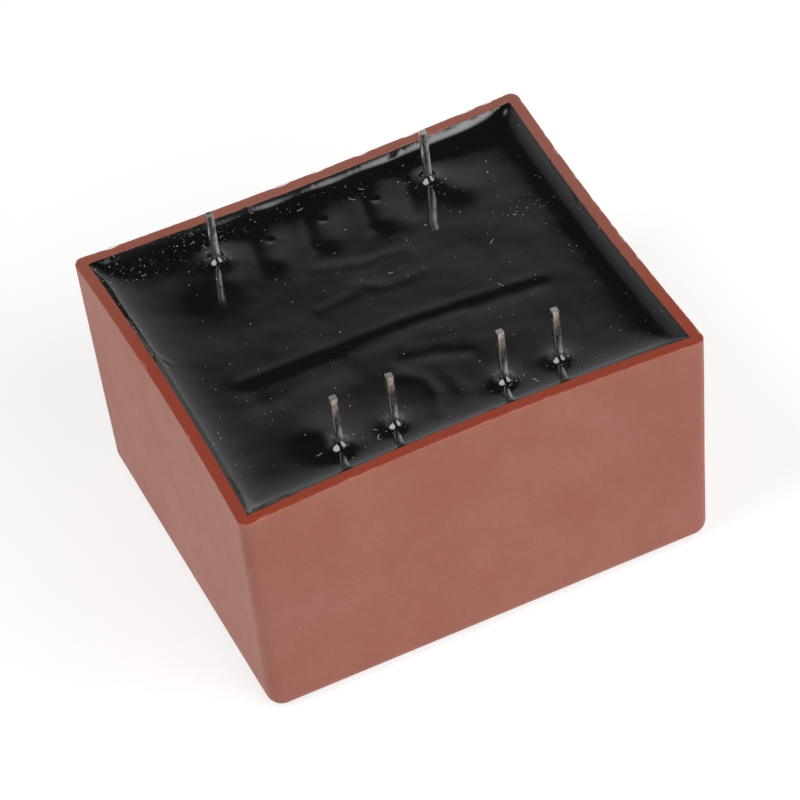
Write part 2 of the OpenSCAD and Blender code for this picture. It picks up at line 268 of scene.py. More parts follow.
def plan(z, inset, corner):
    """The cup's outline at height z, drawn in by inset, with the pull of each wall."""
    shrink = cup.lean * (1 - z / cup.height) + inset
    hx, hy = cup.half_x - shrink, cup.half_y - shrink
    cx, cy = hx - corner, hy - corner
    s = np.linspace(-1, 1, SIDE_SPANS + 1)[1:-1]
    bow = (1 - s * s) * (z / cup.height) ** PULL_POWER
    turn = np.linspace(0, math.pi / 2, CORNER_SPANS + 1)

    def corner_at(x, y, start):
        angle = turn + start
        return np.column_stack((x + corner * np.cos(angle), y + corner * np.sin(angle)))

    quarter = math.pi / 2
    return np.vstack(
        (
            np.column_stack((s * cx, -hy + cup.pull_front * bow)),
            corner_at(cx, -cy, -quarter),
            np.column_stack((hx - cup.pull_end * bow, s * cy)),
            corner_at(cx, cy, 0),
            np.column_stack((-s * cx, hy - cup.pull_back * bow)),
            corner_at(-cx, cy, quarter),
            np.column_stack((-hx + cup.pull_end * bow, -s * cy)),
            corner_at(-cx, -cy, 2 * quarter),
        )
    )


def cup_rings(settings):
    """(height, inset, corner radius) up the outside, over the rim and down the inside."""
    top, edge = cup.height, cup.closed_edge
    outer, inner = settings.outer_edge / MM, settings.inner_edge / MM
    bend = np.radians(np.linspace(90, 0, 9))
    rings = [(0.0, inset, 0.2) for inset in (12.0, 6.0, 3.0, 1.8)]
    for z, inset in zip(edge * (1 - np.sin(bend)), edge * (1 - np.cos(bend))):
        corner = CORNER_AT_CLOSED_FACE + (CORNER_AT_RIM - CORNER_AT_CLOSED_FACE) * z / top
        rings.append((z, inset, max(corner - inset, 0.2)))
    for z in [*np.linspace(edge + 0.5, top - 1.0, 14), top - 0.6, top - 0.4, top - 0.3, top - 0.22]:
        rings.append((z, 0.0, CORNER_AT_CLOSED_FACE + (CORNER_AT_RIM - CORNER_AT_CLOSED_FACE) * z / top))
    bend = np.radians(np.linspace(0, 90, 6))
    for z, inset in zip(top - outer * (1 - np.sin(bend)), outer * (1 - np.cos(bend))):
        rings.append((z, inset, CORNER_AT_RIM - inset))
    for share in (0.15, 0.35, 0.55, 0.75, 0.9):
        inset = outer + share * (cup.wall - outer - inner)
        rings.append((top, inset, CORNER_AT_RIM + (CORNER_IN_CAVITY - CORNER_AT_RIM) * share))
    for z, inset in zip(top - inner * (1 - np.cos(bend)), cup.wall - inner * (1 - np.sin(bend))):
        rings.append((z, inset, CORNER_IN_CAVITY))
    for z in (top - 0.3, top - 0.6, top - 1.0, top - 2.0, 19.0, 15.0, 9.0, cup.closed_face + 0.3):
        rings.append((z, cup.wall, CORNER_IN_CAVITY))
    return rings + [(cup.closed_face, cup.wall + inset, CORNER_IN_CAVITY) for inset in (0.3, 4.0, 12.0)]


def nick_depths(count, settings):
    """Depth of the chips along the rim's outer edge, at count points round it."""
    draw = np.random.default_rng(7)
    place = np.arange(count) / count
    depth = np.zeros(count)
    for _ in range(settings.nick_count):
        centre, width, share = draw.random(), draw.uniform(0.0008, 0.004), draw.random() ** 2
        depth += share * np.exp(-(((place - centre) / width) ** 2))
    return np.minimum(depth, 1.0) * settings.nick_depth / MM


def cup_mesh(settings):
    """The cup as one closed skin, with its chipped rim and slightly uneven walls."""
    rings = cup_rings(settings)
    lines = [plan(*ring) for ring in rings]
    plans = [np.column_stack((line, np.full(len(line), ring[0]))) for line, ring in zip(lines, rings)]
    points = np.vstack(plans)
    count = len(plans[0])
    inset = np.repeat([ring[1] for ring in rings], count)
    z = points[:, 2]
    inward = -points[:, :2] / np.linalg.norm(points[:, :2], axis=1)[:, None]
    nicks = np.tile(nick_depths(count, settings), len(rings))
    nicks *= np.exp(-(((z - cup.height) / 0.12) ** 2) - (inset / 0.25) ** 2)
    uneven = 0.02 * ripple(points, 9.0, 5) * ((z > 2) & (inset < cup.wall / 2))
    points[:, :2] += inward * (nicks + uneven)[:, None]
    on_rim = z > cup.height - 0.2
    points[on_rim, 2] -= 0.02 * np.abs(ripple(points[on_rim], 1.2, 3))
    points[:, 2] -= 0.7 * nicks
    faces = []
    for low in range(0, len(points) - count, count):
        for i in range(count):
            j = (i + 1) % count
            faces.append((low + i, low + j, low + count + j, low + count + i))
    faces.append(tuple(reversed(range(count))))
    faces.append(tuple(range(len(points) - count, len(points))))
    return new_mesh("moulded_case", points, faces)


def edge_line(height, inset):
    """A closed line round the cup at a height and an inset."""
    points = plan(height, inset, CORNER_AT_RIM - inset)
    count = len(points)
    edges = [(i, (i + 1) % count) for i in range(count)]
    return new_mesh("edge_line", np.column_stack((points, np.full(count, height))), edges=edges)


def burr_tree():
    """A ragged bead along a line, as flash that was torn from a mould's parting edge."""
    tree, given = new_geometry_tree(
        "torn_flash",
        [
            ("Thickness", "Float", 0.00004),
            ("Raggedness", "Float", 0.0004),
            ("Seed", "Float", 3.0),
            ("Material", "Material", None),
        ],
    )
    line = add(tree, "GeometryNodeMeshToCurve", None, {"Mesh": given["Geometry"]})
    spread = add(tree, "GeometryNodeResampleCurve", {"mode": "LENGTH"}, {"Curve": line, "Length": 0.12 * MM})
    scale = add(tree, *QUOTIENT, {0: 1.0, 1: given["Raggedness"]})
    torn = add(
        tree,
        "ShaderNodeTexNoise",
        {"noise_dimensions": "4D"},
        {"W": given["Seed"], "Scale": scale, "Detail": 3.0},
    )
    share = add(
        tree,
        "ShaderNodeMapRange",
        None,
        {"Value": torn, "From Min": 0.42, "From Max": 0.72, "To Min": 0.12, "To Max": 1.0},
    )
    radius = add(tree, *PRODUCT, {0: share, 1: given["Thickness"]})
    sized = add(tree, "GeometryNodeSetCurveRadius", None, {"Curve": spread, "Radius": radius})
    round_profile = add(
        tree, "GeometryNodeCurvePrimitiveCircle", {"mode": "RADIUS"}, {"Resolution": 5, "Radius": 1.0}
    )
    bead = add(
        tree,
        "GeometryNodeCurveToMesh",
        None,
        {"Curve": sized, "Profile Curve": round_profile, "Scale": radius},
    )
    close_geometry_tree(tree, bead, given)
    return tree


# ---- the cast resin ----

BASE_LEVELS = (21.0, 18.0, 12.0, 6.0)  # heights of the rings down the block's sides
RESIN_BITE = 0.02  # how far the cast block reaches into the walls that it sticks to
PULL_DECAY = 8  # how fast the walls' pull dies away inside the cavity
STREAK_WIDTH = 0.9
STREAK_STRETCH = 4.0  # how much longer than wide a streak is


def grid_lines(half, stops):
    """Grid lines from -1 to 1 that crowd at both walls and at each stop."""
    near = (*np.arange(-0.9, 0.91, 0.07), -1.3, -1.1, 1.1, 1.3)
    fine = [stop + step for stop in stops for step in near]
    edge = [half - step for step in (0, 0.03, 0.07, 0.12, 0.18, 0.25, *np.arange(0.34, 2.8, 0.12))]
    plain = list(np.arange(0.4 - half, half - 0.3, 0.36))
    kept = [-half]
    for line in sorted(fine + edge + [-line for line in edge] + plain):
        step = line - kept[-1]
        if step > 0.065 or (step > 0.02 and half - abs(line) < 0.3):
            kept.append(line)
    kept[-1] = half
    return np.array(kept) / half


def cavity_plan(u, v, z):
    """x and y at height z in the cavity, for u and v from -1 to 1 between its walls."""
    shrink = cup.lean * (1 - z / cup.height) + cup.wall - RESIN_BITE
    pulled = (z / cup.height) ** PULL_POWER
    pull_y = np.where(v < 0, cup.pull_front, cup.pull_back)
    x = u * (cup.half_x - shrink - cup.pull_end * (1 - v * v) * np.abs(u) ** PULL_DECAY * pulled)
    y = v * (cup.half_y - shrink - pull_y * (1 - u * u) * np.abs(v) ** PULL_DECAY * pulled)
    return x, y


# Where dust gathered away from the pins: specks to a square millimetre, centre and reach.
DUSTY = (
    (2.2, (-16.5, 15.0), 5.0, 1.3),
    (1.2, (-8.0, 15.6), 6.0, 0.8),
    (0.8, (-19.3, 6.0), 0.5, 9.0),
    (1.0, (15.5, 5.0), 2.2, 3.6),
    (0.6, (0.0, 14.6), 12.0, 1.0),
    (0.4, (16.5, -12.0), 3.0, 2.5),
)
# Patches of fine streaks on both sides of the long crease: centre and reach.
STREAKED = (((1.0, 5.0), 4.0, 2.4), ((1.5, -5.5), 4.5, 3.2))


def dust_density(x, y):
    """Specks to a square millimetre of resin: thick round the pins and along the far left."""
    thick = 0.10 + 0 * x
    for place in PIN_PLACES:
        thick += 1.6 * bell(x, y, (place[0], place[1] - 0.4), 1.7, 1.5)
    for amount, centre, reach_x, reach_y in DUSTY:
        thick += amount * bell(x, y, centre, reach_x, reach_y)
    return thick


def resin_base(settings):
    """The cast block with a flat top, and on its points what the surface tree reads."""
    half_x, half_y = cup.half_x - cup.wall, cup.half_y - cup.wall
    stops_x = sorted({round(float(p[0]), 3) for p in PIN_PLACES} | {-PITCH, 0.0, PITCH})
    u_lines, v_lines = grid_lines(half_x, stops_x), grid_lines(half_y, (-ROW_Y, ROW_Y))
    columns, rows = len(u_lines), len(v_lines)
    u, v = (grid.ravel() for grid in np.meshgrid(u_lines, v_lines))
    level = cup.height - settings.depth / MM
    border = (
        list(range(columns))
        + [columns * j + columns - 1 for j in range(1, rows)]
        + [columns * (rows - 1) + i for i in range(columns - 2, -1, -1)]
        + [columns * j for j in range(rows - 2, 0, -1)]
    )
    layers = [np.column_stack((*cavity_plan(u, v, level), np.full(u.shape, level)))]
    rings = [border]
    for z in (*BASE_LEVELS, cup.closed_face - RESIN_BITE):
        x, y = cavity_plan(u[border], v[border], z)
        first = sum(len(layer) for layer in layers)
        layers.append(np.column_stack((x, y, np.full(x.shape, z))))
        rings.append(list(range(first, first + len(border))))
    top = [
        (columns * j + i, columns * j + i + 1, columns * (j + 1) + i + 1, columns * (j + 1) + i)
        for j in range(rows - 1)
        for i in range(columns - 1)
    ]
    side = [
        (upper[i - 1], lower[i - 1], lower[i], upper[i])
        for upper, lower in zip(rings, rings[1:])
        for i in range(len(border))
    ]
    mesh = new_mesh("cast_resin", np.vstack(layers), top + side + [tuple(reversed(rings[-1]))])
    smooth = [True] * len(top) + [False] * (len(side) + 1)
    mesh.polygons.foreach_set("use_smooth", smooth)
    x, y = layers[0][:, 0], layers[0][:, 1]
    carried = {
        "free": np.ones(len(u)),
        "end_gap": (1 - np.abs(u)) * half_x * MM,
        "side_gap": (1 - np.abs(v)) * half_y * MM,
        "dust": dust_density(x, y),
        "streaked": sum(bell(x, y, *patch) for patch in STREAKED),
    }
    for name, values in carried.items():
        attribute = mesh.attributes.new(name, "FLOAT", "POINT")
        full = np.zeros(len(mesh.vertices))
        full[: len(values)] = values
        attribute.data.foreach_set("value", full)
    return mesh


def fade_tree():
    """Height that fades with distance: like a climbing skin at shape 1, like a swell at shape 2."""
    tree = bpy.data.node_groups.new("fade", "GeometryNodeTree")
    tree.interface.new_socket("Height", in_out="OUTPUT", socket_type="NodeSocketFloat")
    for name in ("Distance", "Height", "Reach", "Shape"):
        tree.interface.new_socket(name, in_out="INPUT", socket_type="NodeSocketFloat")
    given = add(tree, "NodeGroupInput").outputs
    reaches = add(tree, *QUOTIENT, {0: given["Distance"], 1: given["Reach"]})
    bent = add(tree, *POWER, {0: reaches, 1: given["Shape"]})
    left = add(tree, *POWER, {0: math.exp(-1), 1: bent})
    add(tree, "NodeGroupOutput", None, {"Height": add(tree, *PRODUCT, {0: left, 1: given["Height"]})})
    return tree


def resin_marks(settings):
    """What shapes the free surface: (name, points, edges, height, reach, shape)."""
    level = cup.height - settings.depth / MM
    roots = [(place[0], place[1], level) for place in PIN_PLACES]
    at_axis = settings.pin_climb * math.exp(PIN_SIDE * MM / 2 / settings.pin_reach)
    vacant = [(column * PITCH, ROW_Y, level) for column in (-1, 0, 1)]
    marks = [
        ("pin_roots", roots, [], at_axis, settings.pin_reach, 1.0),
        ("vacant_roots", vacant, [], -settings.pit_depth, 0.28 * MM, 2.0),
    ]
    for name, path, height, reach in SWELLS:
        points = [(x, y, level) for x, y in path]
        edges = [(i, i + 1) for i in range(len(points) - 1)]
        marks.append((name, points, edges, height * settings.relief, reach * MM, 2.0))
    return marks


# Ridges and hollows that the resin kept as it set: a line, its height and its half width.
SWELLS = (
    ("plate_left", [(-4.8, 14.2), (-5.7, 10.4)], 0.13, 1.6),
    ("plate_middle", [(0.4, 14.2), (-0.6, 10.4)], 0.13, 1.6),
    ("plate_right", [(5.6, 13.9), (4.7, 10.1)], 0.13, 1.6),
    ("seam_left", [(-6.5, 13.6), (-7.0, 9.8)], -0.03, 0.5),
    ("seam_middle", [(-1.1, 14.3), (-2.1, 9.8)], -0.05, 0.5),
    ("seam_right", [(4.1, 14.0), (3.2, 9.4)], -0.05, 0.5),
    ("seam_far_right", [(8.3, 13.2), (7.1, 9.2)], -0.04, 0.5),
    ("mound_1", [(-10.2, 12.2), (-10.9, 10.6)], 0.24, 2.6),
    ("mound_5", [(10.2, 12.0), (11.9, 10.2)], 0.15, 1.8),
    ("mound_6", [(-9.8, -12.4), (-10.6, -10.4)], 0.17, 2.1),
    ("long_crease", [(-14.2, -1.7), (1.8, -1.8), (12.9, -2.9)], 0.025, 0.5),
    ("crease_foot", [(-13.8, -3.0), (1.8, -3.0), (12.7, -4.0)], -0.04, 0.8),
    ("crease_shelf", [(-13.4, -4.6), (-6.0, -4.2)], -0.07, 1.5),
    ("swirl_a", [(-3.1, 7.4), (0.6, 6.2), (4.6, 5.7)], 0.02, 0.5),
    ("swirl_b", [(-0.8, 3.7), (1.4, 2.5), (4.7, 2.6)], 0.02, 0.5),
    ("swirl_c", [(-4.9, 2.8), (-1.4, 3.1)], 0.02, 0.5),
    ("swirl_d", [(-3.7, -2.9), (0.5, -3.2), (5.5, -3.7)], 0.015, 0.4),
    ("swirl_e", [(-1.5, -6.2), (1.5, -6.9), (4.0, -8.0)], -0.03, 0.6),
    ("swirl_f", [(-2.1, -7.7), (-0.6, -9.1), (-0.5, -11.1), (-1.4, -13.3)], 0.035, 0.6),
    ("swirl_g", [(1.4, -9.6), (1.5, -12.2), (1.2, -14.0)], 0.02, 0.6),
    ("tear", [(-19.8, 4.6), (-19.0, 4.1), (-18.3, 3.0)], 0.09, 0.12),
)


def surface_tree(marks):
    """Raises the resin's flat top where it climbed the walls and pins and kept its swells."""
    inputs = [(mark[0], "Object", None) for mark in marks]
    inputs += [
        ("Wall climb", "Float", 0.0008),
        ("Wall reach", "Float", 0.001),
        ("Sag", "Float", 0.0001),
        ("Sag reach", "Float", 0.002),
        ("Ragged", "Float", 0.0001),
        ("Ragged size", "Float", 0.0013),
        ("Waves", "Float", 0.00005),
        ("Wave size", "Float", 0.006),
        ("Streaks", "Float", 0.00001),
        ("Highest", "Float", 0.0235),
        ("Material", "Material", None),
    ]
    tree, given = new_geometry_tree("set_resin_surface", inputs)
    fade = fade_tree()
    heights = []
    for name, _, edges, height, reach, shape in marks:
        element = "EDGES" if edges else "POINTS"
        mark = add(tree, "GeometryNodeObjectInfo", None, {"Object": given[name]})
        near = add(
            tree,
            "GeometryNodeProximity",
            {"target_element": element},
            {"Geometry": mark.outputs["Geometry"]},
        )
        heights.append(
            add(
                tree,
                "GeometryNodeGroup",
                {"node_tree": fade},
                {
                    "Distance": near.outputs["Distance"],
                    "Height": height,
                    "Reach": reach,
                    "Shape": shape,
                },
            )
        )
    along = add(
        tree,
        "ShaderNodeVectorMath",
        {"operation": "MULTIPLY"},
        {0: add(tree, "GeometryNodeInputPosition"), 1: (1 / STREAK_STRETCH, 1.0, 1.0)},
    )
    noises = (
        {"Scale": add(tree, *QUOTIENT, {0: 1.0, 1: given["Ragged size"]}), "Detail": 4.0},
        {"Scale": add(tree, *QUOTIENT, {0: 1.0, 1: given["Wave size"]}), "Detail": 2.0},
        {"Vector": along, "Scale": 1 / (STREAK_WIDTH * MM), "Detail": 1.0, "Distortion": 0.8},
    )
    tatters, waves, streaks = (
        add(
            tree,
            "ShaderNodeMapRange",
            {"clamp": False},
            {"Value": add(tree, "ShaderNodeTexNoise", None, inputs), "To Min": -1.0, "To Max": 1.0},
        )
        for inputs in noises
    )
    carried = [
        add(tree, "GeometryNodeInputNamedAttribute", {"data_type": "FLOAT"}, {"Name": name})
        for name in ("end_gap", "side_gap", "streaked", "free")
    ]
    end_gap, side_gap, streaked, free = (node.outputs["Attribute"] for node in carried)
    sags, climbs = (
        [
            add(
                tree,
                "GeometryNodeGroup",
                {"node_tree": fade},
                {"Distance": gap, "Height": given[height], "Reach": given[reach], "Shape": 1.0},
            )
            for gap in (end_gap, side_gap)
        ]
        for height, reach in (("Sag", "Sag reach"), ("Wall climb", "Wall reach"))
    )
    heights += sags + climbs
    both = add(tree, *PRODUCT, {0: climbs[0], 1: climbs[1]})
    shared = add(tree, *QUOTIENT, {0: both, 1: given["Wall climb"]})
    nearest = add(tree, *SMALLER, {0: end_gap, 1: side_gap})
    contact = add(
        tree,
        "GeometryNodeGroup",
        {"node_tree": fade},
        {"Distance": nearest, "Height": given["Ragged"], "Reach": 0.12 * MM, "Shape": 1.0},
    )
    streak_depth = add(tree, *PRODUCT, {0: streaked, 1: given["Streaks"]})
    heights.append(add(tree, *PRODUCT, {0: contact, 1: tatters}))
    heights.append(add(tree, *PRODUCT, {0: waves, 1: given["Waves"]}))
    heights.append(add(tree, *PRODUCT, {0: streaks, 1: streak_depth}))
    total = add(tree, *DIFFERENCE, {0: heights[0], 1: shared})
    for height in heights[1:]:
        total = add(tree, *SUM, {0: total, 1: height})
    here = add(tree, "ShaderNodeSeparateXYZ", None, {"Vector": add(tree, "GeometryNodeInputPosition")})
    raised = add(tree, *SUM, {0: here.outputs["Z"], 1: total})
    kept = add(tree, *SMALLER, {0: raised, 1: given["Highest"]})
    place = add(
        tree, "ShaderNodeCombineXYZ", None, {"X": here.outputs["X"], "Y": here.outputs["Y"], "Z": kept}
    )
    moved = add(
        tree,
        "GeometryNodeSetPosition",
        None,
        {"Geometry": given["Geometry"], "Selection": free, "Position": place},
    )
    close_geometry_tree(tree, moved, given)
    return tree


# ---- the pins ----


PIN_RINGS = 48
TIP_GRAIN = 1800.0  # noise scale of the cut tip: marks of about half a millimetre


def pin_tree():
    """A length of square drawn wire with eased edges and a cut tip."""
    tree, given = new_geometry_tree(
        "cut_square_wire",
        [
            ("Side", "Float", 0.0006),
            ("Length", "Float", 0.011),
            ("Edge radius", "Float", 0.00005),
            ("Tip unevenness", "Float", 0.00003),
            ("Foot", "Vector", None),
            ("Seed", "Float", 1.0),
            ("Material", "Material", None),
        ],
    )
    square = add(
        tree,
        "GeometryNodeCurvePrimitiveQuadrilateral",
        {"mode": "RECTANGLE"},
        {"Width": given["Side"], "Height": given["Side"]},
    )
    eased = add(
        tree,
        "GeometryNodeFilletCurve",
        {"mode": "POLY"},
        {"Curve": square, "Count": 3, "Radius": given["Edge radius"]},
    )
    reach = add(tree, "ShaderNodeCombineXYZ", None, {"Z": given["Length"]})
    axis = add(tree, "GeometryNodeCurvePrimitiveLine", None, {"End": reach})
    spaced = add(tree, "GeometryNodeResampleCurve", {"mode": "COUNT"}, {"Curve": axis, "Count": PIN_RINGS})
    wire = add(
        tree,
        "GeometryNodeCurveToMesh",
        None,
        {"Curve": spaced, "Profile Curve": eased, "Fill Caps": True},
    )
    here = add(tree, "GeometryNodeInputPosition")
    height = add(tree, "ShaderNodeSeparateXYZ", None, {"Vector": here}).outputs["Z"]
    from_tip = add(tree, *DIFFERENCE, {0: given["Length"], 1: height})
    at_tip = add(tree, "ShaderNodeMath", {"operation": "LESS_THAN"}, {0: from_tip, 1: 0.01 * MM})
    broken = add(
        tree,
        "ShaderNodeTexNoise",
        {"noise_dimensions": "4D"},
        {"W": given["Seed"], "Scale": TIP_GRAIN, "Detail": 2.0},
    )
    drop = add(tree, *PRODUCT, {0: add(tree, *PRODUCT, {0: broken, 1: given["Tip unevenness"]}), 1: -1.0})
    offset = add(tree, "ShaderNodeCombineXYZ", None, {"Z": drop})
    cut = add(
        tree, "GeometryNodeSetPosition", None, {"Geometry": wire, "Selection": at_tip, "Offset": offset}
    )
    stood = add(tree, "GeometryNodeTransform", None, {"Geometry": cut, "Translation": given["Foot"]})
    close_geometry_tree(tree, stood, given)
    return tree


# ---- dust and lint ----


def dust_points(tree, given):
    """Points on a surface, as thick as its dust attribute says, per square millimetre."""
    thick = add(tree, "GeometryNodeInputNamedAttribute", {"data_type": "FLOAT"}, {"Name": "dust"})
    amount = add(tree, *PRODUCT, {0: thick.outputs["Attribute"], 1: given["Amount"]})
    density = add(tree, *PRODUCT, {0: amount, 1: 1 / MM**2})
    spread = add(
        tree,
        "GeometryNodeDistributePointsOnFaces",
        {"distribute_method": "RANDOM"},
        {"Mesh": given["Geometry"], "Density": density, "Seed": given["Seed"]},
    )
    return spread.outputs["Points"]


def speck_tree():
    """Scatters small grains on a surface, as thick as its dust attribute says."""
    tree, given = new_geometry_tree(
        "scattered_specks",
        [
            ("Smallest", "Float", 0.00001),
            ("Largest", "Float", 0.00005),
            ("Amount", "Float", 1.0),
            ("Seed", "Int", 1),
            ("Material", "Material", None),
        ],
    )
    spread = dust_points(tree, given)
    crumb = add(tree, "GeometryNodeMeshIcoSphere", None, {"Radius": 1.0, "Subdivisions": 1})
    chance = add(tree, "FunctionNodeRandomValue", {"data_type": "FLOAT"}, {"Seed": given["Seed"]})
    rare = add(tree, *POWER, {0: chance, 1: 4.0})
    size = add(
        tree,
        "ShaderNodeMapRange",
        None,
        {"Value": rare, "To Min": given["Smallest"], "To Max": given["Largest"]},
    )
    shape = add(
        tree,
        "FunctionNodeRandomValue",
        {"data_type": "FLOAT_VECTOR"},
        {"Min": (0.5, 0.5, 0.3), "Max": (1.6, 1.0, 0.8), "Seed": given["Seed"]},
    )
    scale = add(
        tree, "ShaderNodeVectorMath", {"operation": "SCALE"}, {"Vector": shape, "Scale": size}
    )
    turn = add(
        tree,
        "FunctionNodeRandomValue",
        {"data_type": "FLOAT_VECTOR"},
        {"Min": (0, 0, 0), "Max": (0.6, 0.6, 6.283), "Seed": given["Seed"]},
    )
    grains = add(
        tree,
        "GeometryNodeInstanceOnPoints",
        None,
        {
            "Points": spread,
            "Instance": crumb.outputs["Mesh"],
            "Rotation": turn,
            "Scale": scale,
        },
    )
    close_geometry_tree(tree, grains, given)
    return tree


def lint_tree():
    """Scatters short bent fibres that lie on a surface."""
    tree, given = new_geometry_tree(
        "scattered_lint",
        [
            ("Shortest", "Float", 0.0002),
            ("Longest", "Float", 0.0009),
            ("Thickness", "Float", 0.00002),
            ("Amount", "Float", 0.05),
            ("Seed", "Int", 1),
            ("Material", "Material", None),
        ],
    )
    spread = dust_points(tree, given)
    bow = add(
        tree,
        "GeometryNodeCurveQuadraticBezier",
        None,
        {"Resolution": 6, "Start": (-0.5, 0, 0), "Middle": (0, 0.35, 0.1), "End": (0.5, 0, 0)},
    )
    chance = add(tree, "FunctionNodeRandomValue", {"data_type": "FLOAT"}, {"Seed": given["Seed"]})
    size = add(
        tree,
        "ShaderNodeMapRange",
        None,
        {"Value": chance, "To Min": given["Shortest"], "To Max": given["Longest"]},
    )
    turn = add(
        tree,
        "FunctionNodeRandomValue",
        {"data_type": "FLOAT_VECTOR"},
        {"Min": (0, 0, 0), "Max": (0.3, 0.3, 6.283), "Seed": given["Seed"]},
    )
    lines = add(
        tree,
        "GeometryNodeInstanceOnPoints",
        None,
        {"Points": spread, "Instance": bow, "Rotation": turn, "Scale": size},
    )
    loose = add(tree, "GeometryNodeRealizeInstances", None, {"Geometry": lines})
    round_profile = add(
        tree,
        "GeometryNodeCurvePrimitiveCircle",
        {"mode": "RADIUS"},
        {"Resolution": 4, "Radius": given["Thickness"]},
    )
    fibres = add(
        tree,
        "GeometryNodeCurveToMesh",
        None,
        {"Curve": loose, "Profile Curve": round_profile, "Fill Caps": True},
    )
    close_geometry_tree(tree, fibres, given)
    return tree


# ---- materials ----


def polyester_moulding(settings):
    """Glass-filled polyester, hot moulded: chalky satin walls with paler clouds, and a rim in a darker,
    redder colour.

    The rim's colour is painted shade, for the top, which gets little light from overhead; it is paler
    towards the back right.
    """
    material, tree, place = new_material("moulded_polyester_red_brown")
    height = add(tree, "ShaderNodeSeparateXYZ", None, {"Vector": place}).outputs["Z"]
    clouds = add(tree, "ShaderNodeTexNoise", None, grain(place, 8.0, 4.0, 0.6))
    cloudy = add(
        tree, "ShaderNodeMapRange", None, {"Value": clouds, "From Min": 0.35, "From Max": 0.7}
    )
    skin, cloud = linear(settings.wall_colour), linear(settings.cloud_colour)
    wall = add(tree, *BLEND, {"Factor": cloudy, "A": skin, "B": cloud})
    # filler grains show about a fifth of a millimetre across
    filler = add(tree, "ShaderNodeTexNoise", None, grain(place, 0.2, 2.0, 0.6))
    shade = add(
        tree,
        "ShaderNodeMapRange",
        None,
        {"Value": filler, "From Min": 0.3, "From Max": 0.7, "To Min": 0.9, "To Max": 1.03},
    )
    wall = add(tree, *MULTIPLY, {"Factor": 1.0, "A": wall, "B": shade})
    # painted shade: a band at the top of the rim, with a wavering lower edge, gets a darker, redder colour
    # than the walls
    wavering = add(tree, "ShaderNodeTexNoise", None, grain(place, 0.5, 3.0, 0.6))
    edge = add(tree, *SUM, {0: height, 1: add(tree, *PRODUCT, {0: wavering, 1: 0.06 * MM})})
    shaded = add(
        tree,
        "ShaderNodeMapRange",
        None,
        {"Value": edge, "From Min": (cup.height - 0.06) * MM, "From Max": cup.height * MM},
    )
    across = add(
        tree, "ShaderNodeVectorMath", {"operation": "DOT_PRODUCT"}, {0: place, 1: (0.5, 1.0, 0.0)}
    ).outputs["Value"]
    # the rim's painted shade turns paler towards the back right
    toward_back = add(
        tree, "ShaderNodeMapRange", None, {"Value": across, "From Min": -8 * MM, "From Max": 14 * MM}
    )
    rim = add(
        tree,
        *BLEND,
        {"Factor": toward_back, "A": linear(settings.rim_shade_front), "B": linear(settings.rim_shade_back)},
    )
    # the walls' colour below, the rim's painted shade on its top
    colour = add(tree, *BLEND, {"Factor": shaded, "A": wall, "B": rim})
    polish = add(tree, "ShaderNodeTexNoise", None, grain(place, 1.5, 3.0))
    rough = add(tree, "ShaderNodeMapRange", None, {"Value": polish, "To Min": 0.48, "To Max": 0.62})
    pores = add(tree, "ShaderNodeTexNoise", None, grain(place, 0.15, 3.0, 0.6))
    bump = add(tree, "ShaderNodeBump", None, {"Strength": 0.2, "Distance": 0.01 * MM, "Height": pores})
    return close_material(material, {"Base Color": colour, "Roughness": rough, "IOR": 1.52, "Normal": bump})


def cast_resin(settings):
    """Polyurethane poured and cured in the open: black and wet-looking, with duller clouds."""
    material, tree, place = new_material("cast_polyurethane_black")
    clouds = add(tree, "ShaderNodeTexNoise", None, grain(place, 5.0, 4.0, 0.6))
    dull = add(tree, "ShaderNodeMapRange", None, {"Value": clouds, "From Min": 0.35, "From Max": 0.7})
    colour = add(
        tree, *BLEND, {"Factor": dull, "A": linear(settings.colour), "B": linear(settings.dull_colour)}
    )
    rough = add(tree, "ShaderNodeMapRange", None, {"Value": clouds, "To Min": 0.05, "To Max": 0.1})
    skin = add(tree, "ShaderNodeTexNoise", None, grain(place, 1.4, 3.0))
    bump = add(tree, "ShaderNodeBump", None, {"Strength": 0.1, "Distance": 0.02 * MM, "Height": skin})
    return close_material(material, {"Base Color": colour, "Roughness": rough, "IOR": 1.5, "Normal": bump})


def hot_tin(settings):
    """Square brass wire dipped in tin: bright, with streaks along the draw and dull stains."""
    material, tree, place = new_material("hot_tinned_brass")
    drawn = add(tree, "ShaderNodeMapping", None, {"Vector": place, "Scale": (1.0, 1.0, 0.15)})
    streaks = add(tree, "ShaderNodeTexNoise", None, grain(drawn.outputs[0], 0.12, 3.0, 0.6))
    stains = add(tree, "ShaderNodeTexNoise", None, grain(place, 0.8, 3.0, 0.65))
    stained = add(tree, "ShaderNodeMapRange", None, {"Value": stains, "From Min": 0.5, "From Max": 0.68})
    colour = add(
        tree, *BLEND, {"Factor": stained, "A": linear(settings.colour), "B": linear(settings.stain_colour)}
    )
    rough = add(tree, "ShaderNodeMapRange", None, {"Value": streaks, "To Min": 0.14, "To Max": 0.42})
    bump = add(tree, "ShaderNodeBump", None, {"Strength": 0.3, "Distance": 0.01 * MM, "Height": streaks})
    return close_material(
        material, {"Base Color": colour, "Metallic": 1.0, "Roughness": rough, "Normal": bump}
    )


